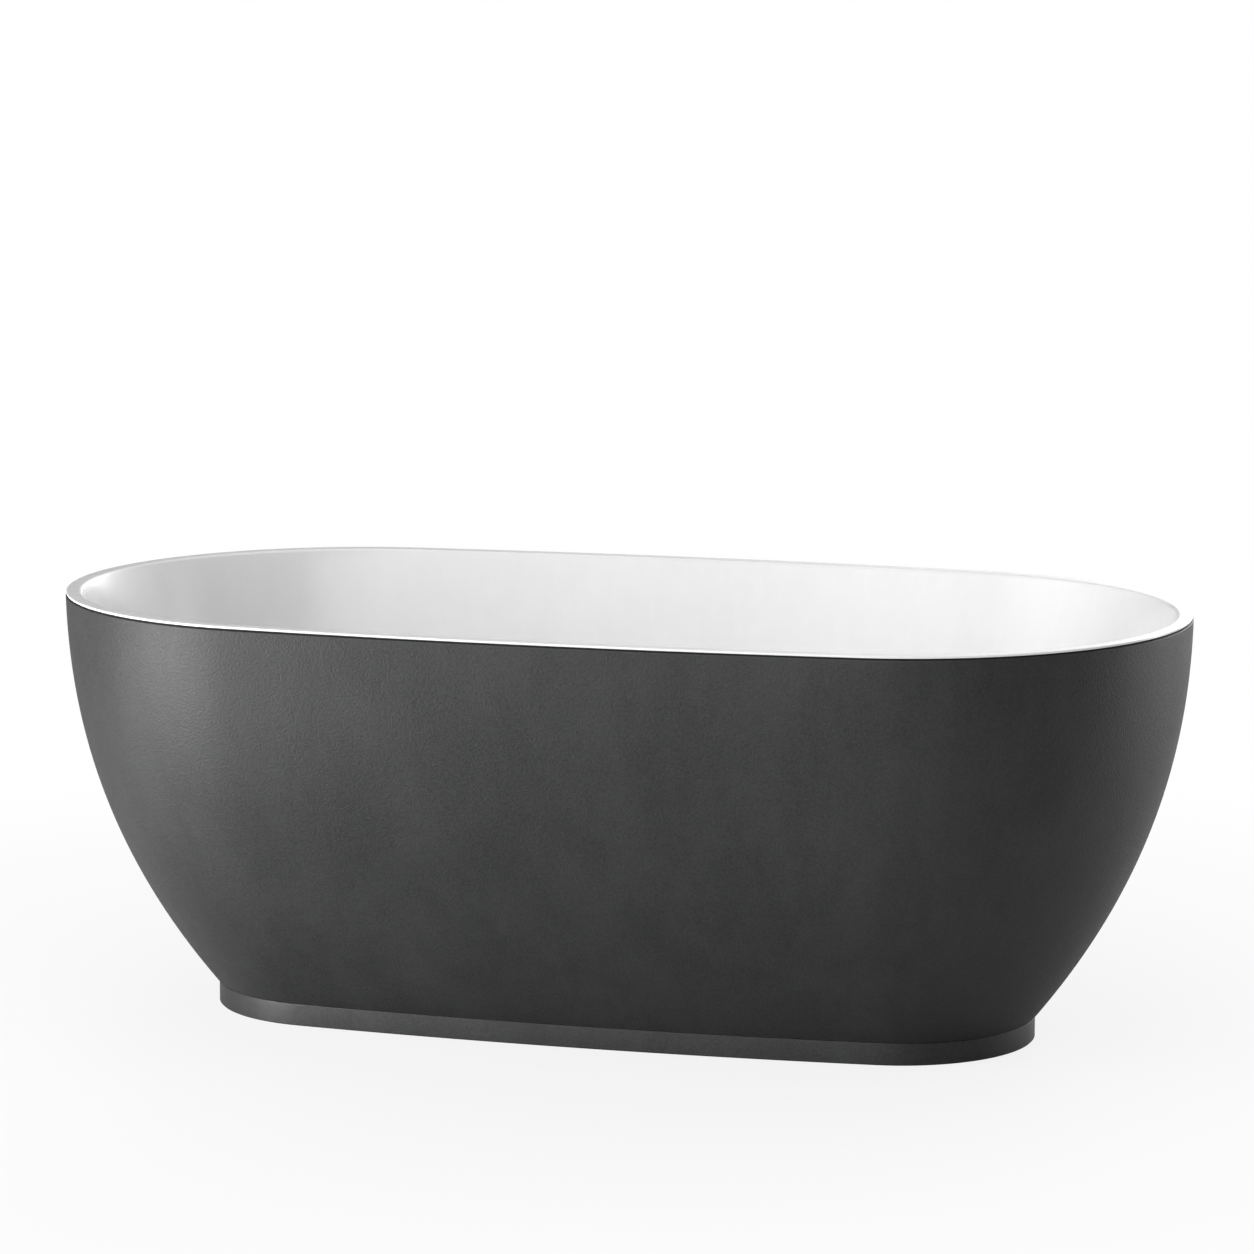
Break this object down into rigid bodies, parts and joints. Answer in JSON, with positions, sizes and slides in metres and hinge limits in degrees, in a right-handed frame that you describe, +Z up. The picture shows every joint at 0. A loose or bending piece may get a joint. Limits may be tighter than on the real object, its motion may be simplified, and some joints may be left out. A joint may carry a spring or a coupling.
{
  "type": "freestanding bathtub",
  "caption": "Oval freestanding bathtub: white acrylic basin in a charcoal tapered skirt on a slim plinth, with steel frame, levelling feet, pop-up waste and slotted overflow.",
  "frame": {"origin": "on the floor, under the middle of the tub", "axes": "+X along the length towards the right-hand end as seen from the front, -Y towards the front side that holds the overflow, +Z up"},
  "size_m": [1.5998, 0.8398, 0.595],
  "materials": {
    "white_acrylic": "gloss cast acrylic, glass-fibre backed",
    "charcoal_skin": "matte charcoal with a very fine sandy texture",
    "charcoal_plinth": "satin charcoal",
    "seam_sealant": "black sealant bead",
    "board": "birch plywood",
    "frame_steel": "hot-dip galvanised, dull spangle",
    "zinc_steel": "bright zinc plate",
    "rubber": "matte black rubber",
    "chrome": "polished chrome",
    "waste_plastic": "moulded grey polypropylene",
    "hose_plastic": "corrugated flexible plastic"
  },
  "bodies": {
    "root": {"inner_shell": "white_acrylic", "outer_shell": "charcoal_skin", "plinth": "charcoal_plinth", "rim_seam": "seam_sealant", "base_board": "board", "rail_front": "frame_steel", "rail_back": "frame_steel", "cradle_left": "frame_steel", "cradle_right": "frame_steel", "drain_gasket_upper": "rubber", "drain_gasket_lower": "rubber", "drain_flange": "chrome", "waste_body": "waste_plastic", "waste_nut": "waste_plastic", "plug_barrel": "waste_plastic", "trap": "waste_plastic", "floor_connector": "waste_plastic", "drain_hose": "hose_plastic", "drain_hose_nut_trap": "waste_plastic", "drain_hose_nut_tail": "waste_plastic", "overflow_cover": "chrome", "overflow_gasket": "rubber", "overflow_body": "waste_plastic", "overflow_hose_nut_top": "waste_plastic", "overflow_hose": "hose_plastic", "overflow_hose_nut_bottom": "waste_plastic", "foot_front_left_weld_nut": "frame_steel", "foot_front_left_lock_nut": "zinc_steel", "skirt_bracket_front_left": "frame_steel", "skirt_screw_front_left": "zinc_steel", "plinth_bracket_front_left": "frame_steel", "foot_front_right_weld_nut": "frame_steel", "foot_front_right_lock_nut": "zinc_steel", "skirt_bracket_front_right": "frame_steel", "skirt_screw_front_right": "zinc_steel", "plinth_bracket_front_right": "frame_steel", "foot_back_left_weld_nut": "frame_steel", "foot_back_left_lock_nut": "zinc_steel", "skirt_bracket_back_left": "frame_steel", "skirt_screw_back_left": "zinc_steel", "plinth_bracket_back_left": "frame_steel", "foot_back_right_weld_nut": "frame_steel", "foot_back_right_lock_nut": "zinc_steel", "skirt_bracket_back_right": "frame_steel", "skirt_screw_back_right": "zinc_steel", "plinth_bracket_back_right": "frame_steel"},
    "plug": {"plug_cap": "chrome", "plug_seal": "rubber", "plug_stem": "waste_plastic", "plug_spring": "zinc_steel"},
    "foot_front_left": {"foot_front_left_pad": "rubber"},
    "foot_front_left_stud_body": {"foot_front_left_stud": "zinc_steel"},
    "foot_front_right": {"foot_front_right_pad": "rubber"},
    "foot_front_right_stud_body": {"foot_front_right_stud": "zinc_steel"},
    "foot_back_left": {"foot_back_left_pad": "rubber"},
    "foot_back_left_stud_body": {"foot_back_left_stud": "zinc_steel"},
    "foot_back_right": {"foot_back_right_pad": "rubber"},
    "foot_back_right_stud_body": {"foot_back_right_stud": "zinc_steel"}
  },
  "joints": [
    {"name": "plug_slide", "type": "slide", "parent": "root", "child": "plug", "axis": [0, 0, 1], "range_m": [0, 0.008], "deforming": ["plug_spring"]},
    {"name": "foot_front_left_slide", "type": "slide", "parent": "root", "child": "foot_front_left", "axis": [0, 0, -1], "range_m": [-0.006, 0.012]},
    {"name": "foot_front_left_turn", "type": "hinge", "parent": "foot_front_left", "child": "foot_front_left_stud_body", "pos_m": [-0.36, -0.15, 0.06], "axis": [0, 0, -1], "range_deg": [-1240, 2480]},
    {"name": "foot_front_right_slide", "type": "slide", "parent": "root", "child": "foot_front_right", "axis": [0, 0, -1], "range_m": [-0.006, 0.012]},
    {"name": "foot_front_right_turn", "type": "hinge", "parent": "foot_front_right", "child": "foot_front_right_stud_body", "pos_m": [0.36, -0.15, 0.06], "axis": [0, 0, -1], "range_deg": [-1240, 2480]},
    {"name": "foot_back_left_slide", "type": "slide", "parent": "root", "child": "foot_back_left", "axis": [0, 0, -1], "range_m": [-0.006, 0.012]},
    {"name": "foot_back_left_turn", "type": "hinge", "parent": "foot_back_left", "child": "foot_back_left_stud_body", "pos_m": [-0.36, 0.15, 0.06], "axis": [0, 0, -1], "range_deg": [-1240, 2480]},
    {"name": "foot_back_right_slide", "type": "slide", "parent": "root", "child": "foot_back_right", "axis": [0, 0, -1], "range_m": [-0.006, 0.012]},
    {"name": "foot_back_right_turn", "type": "hinge", "parent": "foot_back_right", "child": "foot_back_right_stud_body", "pos_m": [0.36, 0.15, 0.06], "axis": [0, 0, -1], "range_deg": [-1240, 2480]}
  ],
  "couplings": [
    {"joint": "foot_front_left_turn", "follows": "foot_front_left_slide", "rad_per_m": 3590.4},
    {"joint": "foot_front_right_turn", "follows": "foot_front_right_slide", "rad_per_m": 3590.4},
    {"joint": "foot_back_left_turn", "follows": "foot_back_left_slide", "rad_per_m": 3590.4},
    {"joint": "foot_back_right_turn", "follows": "foot_back_right_slide", "rad_per_m": 3590.4}
  ]
}
